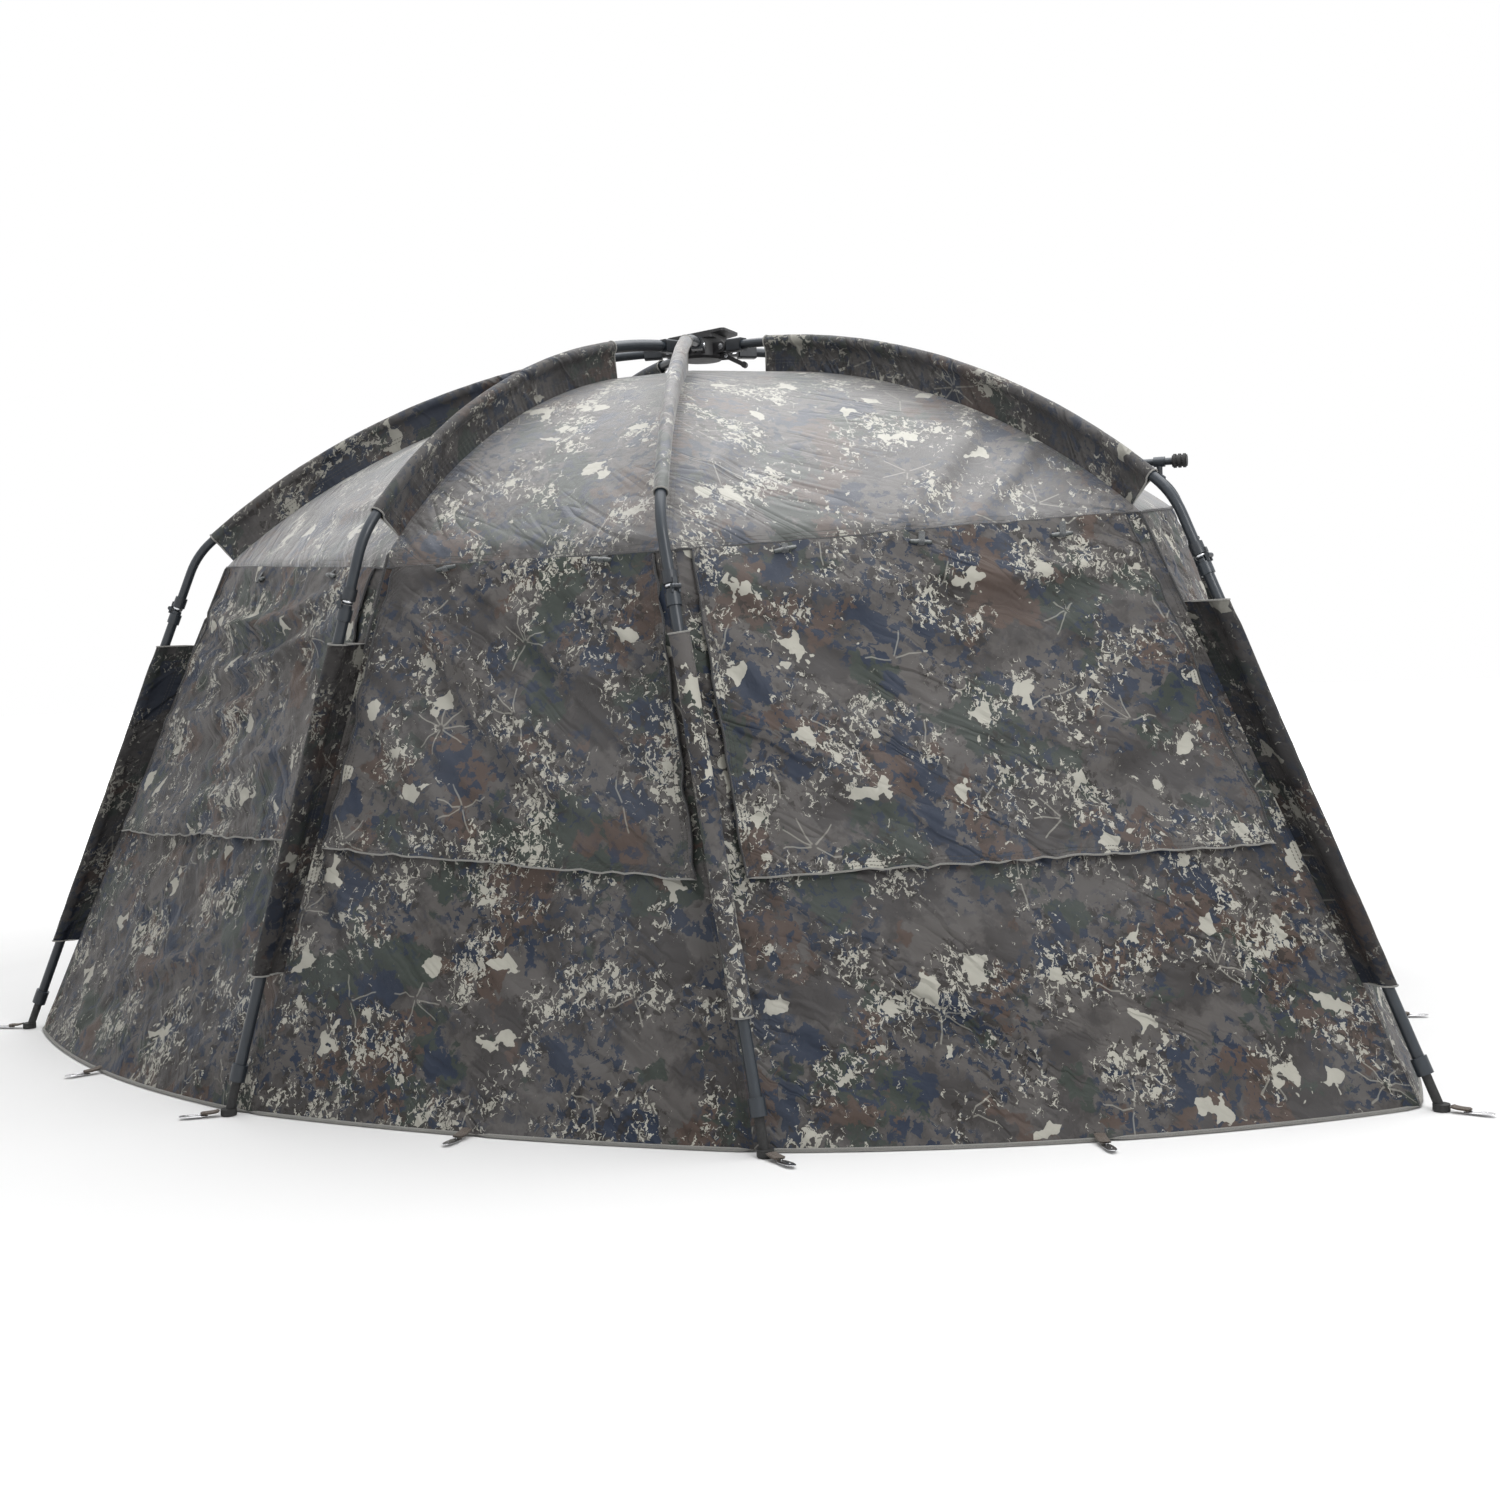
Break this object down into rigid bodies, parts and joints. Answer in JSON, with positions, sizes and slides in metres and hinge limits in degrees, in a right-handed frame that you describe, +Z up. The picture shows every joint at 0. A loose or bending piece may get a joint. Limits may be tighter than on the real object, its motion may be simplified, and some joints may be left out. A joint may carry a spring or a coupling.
{
  "type": "pop up shelter",
  "caption": "Pop-up field shelter: folding hub frame with bowed poles, hinged legs, telescopic feet and a sleeved camouflage cloth skin, open at the front.",
  "frame": {"origin": "on the ground under the hub's axis, which is the middle of the footprint", "axes": "+Z up, +Y towards the doorway, -Y towards the closed rear wall, +X to the right seen from the rear"},
  "size_m": [3.1328, 2.2318, 1.479],
  "materials": {
    "camouflage_cloth": "printed waterproof woven cloth, four-colour leaf pattern",
    "pole": "matt slate-black coated aluminium tube",
    "moulding": "black glass-filled nylon",
    "pin_steel": "blackened steel pins and rivets",
    "foot": "dark telescopic tube with a rubber tip",
    "rubber": "ribbed rubber",
    "peg": "plated steel peg head on webbing"
  },
  "bodies": {
    "hub": {"hub_block": "moulding", "hub_top_plate": "moulding", "hub_pins": "pin_steel", "release_lever_pin": "pin_steel", "roof_crown": "camouflage_cloth"},
    "release_lever": {"release_lever": "moulding"},
    "rib_side_right": {"upper_pole_side_right": "pole", "pole_fittings_side_right": "moulding", "roof_panel_side_right": "camouflage_cloth", "toggles_side_right": "moulding"},
    "leg_side_right": {"lower_leg_side_right": "pole", "wall_panel_side_right": "camouflage_cloth", "ground_pegs_side_right": "peg", "window_flaps_side_right": "camouflage_cloth"},
    "foot_side_right": {"foot_side_right": "foot"},
    "rib_rear_left": {"upper_pole_rear_left": "pole", "pole_fittings_rear_left": "moulding", "roof_panel_rear_left": "camouflage_cloth", "toggles_rear_left": "moulding"},
    "leg_rear_left": {"lower_leg_rear_left": "pole", "wall_panel_rear_left": "camouflage_cloth", "ground_pegs_rear_left": "peg", "window_flaps_rear_left": "camouflage_cloth"},
    "foot_rear_left": {"foot_rear_left": "foot"},
    "rib_rear_right": {"upper_pole_rear_right": "pole", "pole_fittings_rear_right": "moulding", "roof_panel_rear_right": "camouflage_cloth", "toggles_rear_right": "moulding"},
    "leg_rear_right": {"lower_leg_rear_right": "pole", "wall_panel_rear_right": "camouflage_cloth", "ground_pegs_rear_right": "peg", "window_flaps_rear_right": "camouflage_cloth"},
    "foot_rear_right": {"foot_rear_right": "foot"},
    "rib_front_right": {"upper_pole_front_right": "pole", "pole_fittings_front_right": "moulding", "roof_panel_front_right": "camouflage_cloth"},
    "leg_front_right": {"lower_leg_front_right": "pole", "wall_panel_front_right": "camouflage_cloth", "ground_pegs_front_right": "peg"},
    "foot_front_right": {"foot_front_right": "foot"},
    "rib_front_left": {"upper_pole_front_left": "pole", "pole_fittings_front_left": "moulding", "roof_panel_front_left": "camouflage_cloth"},
    "leg_front_left": {"lower_leg_front_left": "pole", "wall_panel_front_left": "camouflage_cloth", "ground_pegs_front_left": "peg"},
    "foot_front_left": {"foot_front_left": "foot"},
    "rib_side_left": {"upper_pole_side_left": "pole", "pole_fittings_side_left": "moulding", "roof_panel_side_left": "camouflage_cloth", "toggles_side_left": "moulding"},
    "leg_side_left": {"lower_leg_side_left": "pole", "wall_panel_side_left": "camouflage_cloth", "ground_pegs_side_left": "peg", "window_flaps_side_left": "camouflage_cloth"},
    "foot_side_left": {"foot_side_left": "foot"},
    "bar_right": {"front_bar_right": "pole", "bar_cap_right": "rubber"},
    "bar_left": {"front_bar_left": "pole", "bar_cap_left": "rubber"}
  },
  "joints": [
    {"name": "fold_side_right", "type": "hinge", "parent": "hub", "child": "rib_side_right", "pos_m": [0.06582, -0.02383, 1.44], "axis": [0.3404, 0.9403, 0], "range_deg": [0, 64], "deforming": ["roof_panel_side_right", "toggles_side_right"]},
    {"name": "leg_side_right", "type": "hinge", "parent": "rib_side_right", "child": "leg_side_right", "pos_m": [1.11656, -0.39897, 0.92835], "axis": [-0.2682, -0.9634, 0], "range_deg": [0, 180], "deforming": ["wall_panel_side_right", "window_flaps_side_right"]},
    {"name": "foot_slide_side_right", "type": "slide", "parent": "leg_side_right", "child": "foot_side_right", "axis": [0.3785, -0.1054, -0.9196], "range_m": [0, 0.15]},
    {"name": "fold_rear_left", "type": "hinge", "parent": "hub", "child": "rib_rear_left", "pos_m": [-0.02198, -0.06646, 1.44], "axis": [0.9494, -0.314, 0], "range_deg": [0, 57], "deforming": ["roof_panel_rear_left", "toggles_rear_left"]},
    {"name": "leg_rear_left", "type": "hinge", "parent": "rib_rear_left", "child": "leg_rear_left", "pos_m": [-0.32865, -0.90683, 0.89848], "axis": [-0.6088, 0.7933, 0], "range_deg": [0, 180], "deforming": ["wall_panel_rear_left", "window_flaps_rear_left"]},
    {"name": "foot_slide_rear_left", "type": "slide", "parent": "leg_rear_left", "child": "foot_rear_left", "axis": [-0.208, -0.1596, -0.965], "range_m": [0, 0.15]},
    {"name": "fold_rear_right", "type": "hinge", "parent": "hub", "child": "rib_rear_right", "pos_m": [0.02198, -0.06646, 1.44], "axis": [0.9494, 0.314, 0], "range_deg": [0, 57], "deforming": ["roof_panel_rear_right", "toggles_rear_right"]},
    {"name": "leg_rear_right", "type": "hinge", "parent": "rib_rear_right", "child": "leg_rear_right", "pos_m": [0.32865, -0.90683, 0.89848], "axis": [-0.6088, -0.7933, 0], "range_deg": [0, 180], "deforming": ["wall_panel_rear_right", "window_flaps_rear_right"]},
    {"name": "foot_slide_rear_right", "type": "slide", "parent": "leg_rear_right", "child": "foot_rear_right", "axis": [0.208, -0.1596, -0.965], "range_m": [0, 0.15]},
    {"name": "fold_front_right", "type": "hinge", "parent": "hub", "child": "rib_front_right", "pos_m": [0.05455, 0.04386, 1.44], "axis": [-0.6266, 0.7793, 0], "range_deg": [0, 68], "deforming": ["roof_panel_front_right"]},
    {"name": "leg_front_right", "type": "hinge", "parent": "rib_front_right", "child": "leg_front_right", "pos_m": [0.931, 0.7595, 1.02479], "axis": [0.7278, -0.6858, 0], "range_deg": [0, 180], "deforming": ["wall_panel_front_right"]},
    {"name": "foot_slide_front_right", "type": "slide", "parent": "leg_front_right", "child": "foot_front_right", "axis": [0.2539, 0.2695, -0.9289], "range_m": [0, 0.15]},
    {"name": "fold_front_left", "type": "hinge", "parent": "hub", "child": "rib_front_left", "pos_m": [-0.05455, 0.04386, 1.44], "axis": [-0.6266, -0.7793, 0], "range_deg": [0, 68], "deforming": ["roof_panel_front_left"]},
    {"name": "leg_front_left", "type": "hinge", "parent": "rib_front_left", "child": "leg_front_left", "pos_m": [-0.931, 0.7595, 1.02479], "axis": [0.7278, 0.6858, 0], "range_deg": [0, 180], "deforming": ["wall_panel_front_left"]},
    {"name": "foot_slide_front_left", "type": "slide", "parent": "leg_front_left", "child": "foot_front_left", "axis": [-0.2539, 0.2695, -0.9289], "range_m": [0, 0.15]},
    {"name": "fold_side_left", "type": "hinge", "parent": "hub", "child": "rib_side_left", "pos_m": [-0.06582, -0.02383, 1.44], "axis": [0.3404, -0.9403, 0], "range_deg": [0, 64], "deforming": ["roof_panel_side_left", "toggles_side_left"]},
    {"name": "leg_side_left", "type": "hinge", "parent": "rib_side_left", "child": "leg_side_left", "pos_m": [-1.11656, -0.39897, 0.92835], "axis": [-0.2682, 0.9634, 0], "range_deg": [0, 180], "deforming": ["wall_panel_side_left", "window_flaps_side_left"]},
    {"name": "foot_slide_side_left", "type": "slide", "parent": "leg_side_left", "child": "foot_side_left", "axis": [-0.3785, -0.1054, -0.9196], "range_m": [0, 0.15]},
    {"name": "bar_swing_right", "type": "hinge", "parent": "rib_front_right", "child": "bar_right", "pos_m": [0.86037, 0.69176, 1.2026], "axis": [0, 0, -1], "range_deg": [0, 90]},
    {"name": "bar_swing_left", "type": "hinge", "parent": "rib_front_left", "child": "bar_left", "pos_m": [-0.86037, 0.69176, 1.2026], "axis": [0, 0, 1], "range_deg": [0, 90]},
    {"name": "lever_lift", "type": "hinge", "parent": "hub", "child": "release_lever", "pos_m": [0.05729, 0.00907, 1.425], "axis": [0.1564, -0.9877, 0], "range_deg": [0, 25]}
  ],
  "couplings": [
    {"joint": "leg_side_right", "follows": "fold_side_right", "ratio": 2.8125},
    {"joint": "fold_rear_left", "follows": "fold_side_right", "ratio": 0.89062},
    {"joint": "leg_rear_left", "follows": "fold_side_right", "ratio": 2.8125},
    {"joint": "fold_rear_right", "follows": "fold_side_right", "ratio": 0.89062},
    {"joint": "leg_rear_right", "follows": "fold_side_right", "ratio": 2.8125},
    {"joint": "fold_front_right", "follows": "fold_side_right", "ratio": 1.0625},
    {"joint": "leg_front_right", "follows": "fold_side_right", "ratio": 2.8125},
    {"joint": "fold_front_left", "follows": "fold_side_right", "ratio": 1.0625},
    {"joint": "leg_front_left", "follows": "fold_side_right", "ratio": 2.8125},
    {"joint": "fold_side_left", "follows": "fold_side_right", "ratio": 1},
    {"joint": "leg_side_left", "follows": "fold_side_right", "ratio": 2.8125}
  ]
}
